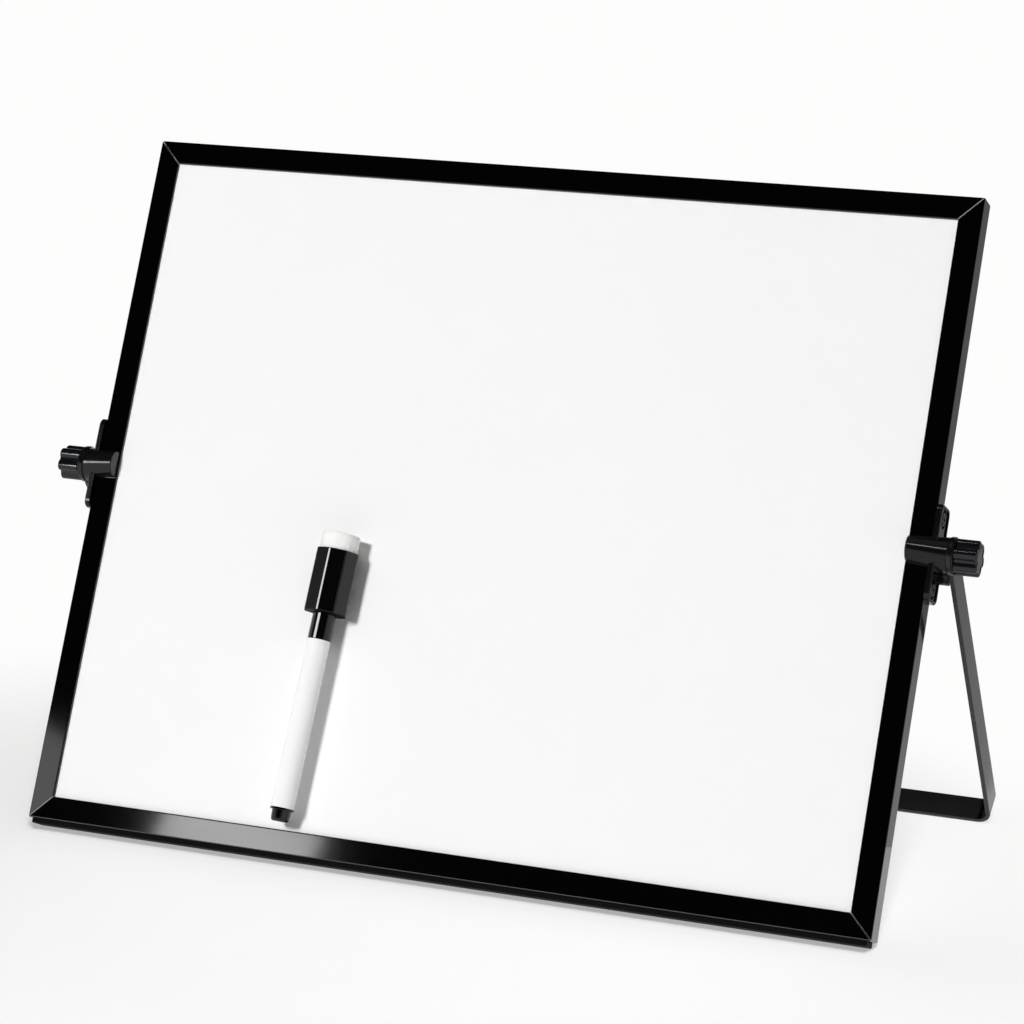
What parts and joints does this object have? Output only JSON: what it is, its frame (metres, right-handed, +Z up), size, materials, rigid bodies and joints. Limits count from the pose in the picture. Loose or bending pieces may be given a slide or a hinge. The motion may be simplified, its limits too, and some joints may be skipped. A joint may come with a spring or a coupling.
{
  "type": "magnetic desk whiteboard easel",
  "caption": "Double-sided magnetic desk whiteboard that turns between clamping knobs in a U-shaped bar stand, with a capped magnetic marker and felt eraser on its face.",
  "frame": {"origin": "centre of the bounding box in plan, on the desk surface that the board and the stand stand on", "axes": "+X across the board to the right as seen from in front, +Y to the back, +Z up"},
  "size_m": [0.3784, 0.1598, 0.2536],
  "materials": {
    "frame_black": "black anodised, satin",
    "key_plastic": "moulded, dull",
    "sheet_white": "glossy white dry-erase coating",
    "core_board": "bare fibreboard",
    "strip_rubber": "dull black",
    "bracket_black": "black moulded, satin",
    "screw_steel": "black zinc",
    "insert_brass": "turned, bright",
    "knob_black": "black moulded, glossy",
    "stud_steel": "zinc plated",
    "stand_black": "black powder coat, semi-gloss",
    "washer_nylon": "black nylon",
    "marker_white": "white moulded, glossy",
    "marker_black": "black moulded, semi-gloss",
    "holder_white": "white moulded",
    "nib_felt": "inked felt",
    "reservoir_fibre": "inked fibre",
    "magnet_nickel": "nickel plated",
    "eraser_felt": "pressed felt"
  },
  "bodies": {
    "board": {"frame_top_rail": "frame_black", "frame_bottom_rail": "frame_black", "frame_left_rail": "frame_black", "frame_right_rail": "frame_black", "corner_key_top_left": "key_plastic", "corner_key_top_right": "key_plastic", "corner_key_bottom_left": "key_plastic", "corner_key_bottom_right": "key_plastic", "front_writing_sheet": "sheet_white", "rear_writing_sheet": "sheet_white", "panel_core": "core_board", "anti_slip_strip": "strip_rubber", "left_bracket": "bracket_black", "right_bracket": "bracket_black", "left_bracket_screws": "screw_steel", "right_bracket_screws": "screw_steel", "left_threaded_insert": "insert_brass", "right_threaded_insert": "insert_brass"},
    "stand": {"u_stand_bar": "stand_black", "left_inner_washer": "washer_nylon", "left_outer_washer": "washer_nylon", "right_inner_washer": "washer_nylon", "right_outer_washer": "washer_nylon"},
    "left_knob_body": {"left_knob": "knob_black", "left_knob_stud": "stud_steel"},
    "right_knob_body": {"right_knob": "knob_black", "right_knob_stud": "stud_steel"},
    "marker": {"marker_barrel": "marker_white", "marker_end_plug": "marker_black", "nib_holder": "holder_white", "marker_nib": "nib_felt", "ink_reservoir": "reservoir_fibre"},
    "cap": {"marker_cap": "marker_black", "felt_eraser": "eraser_felt", "cap_magnet": "magnet_nickel"}
  },
  "joints": [
    {"name": "board_tilt", "type": "hinge", "parent": "board", "child": "stand", "pos_m": [0, -0.00403, 0.13115], "axis": [1, 0, 0], "continuous": true},
    {"name": "left_knob_turn", "type": "hinge", "parent": "board", "child": "left_knob_body", "pos_m": [-0.18, -0.00403, 0.13115], "axis": [-1, 0, 0], "continuous": true},
    {"name": "right_knob_turn", "type": "hinge", "parent": "board", "child": "right_knob_body", "pos_m": [0.18, -0.00403, 0.13115], "axis": [1, 0, 0], "continuous": true},
    {"name": "marker_off_board", "type": "slide", "parent": "board", "child": "marker", "axis": [0, -0.8846, 0.4664], "range_m": [0, 0.03]},
    {"name": "cap_off_marker", "type": "slide", "parent": "marker", "child": "cap", "axis": [0.0349, 0.4661, 0.884], "range_m": [0, 0.03]}
  ]
}
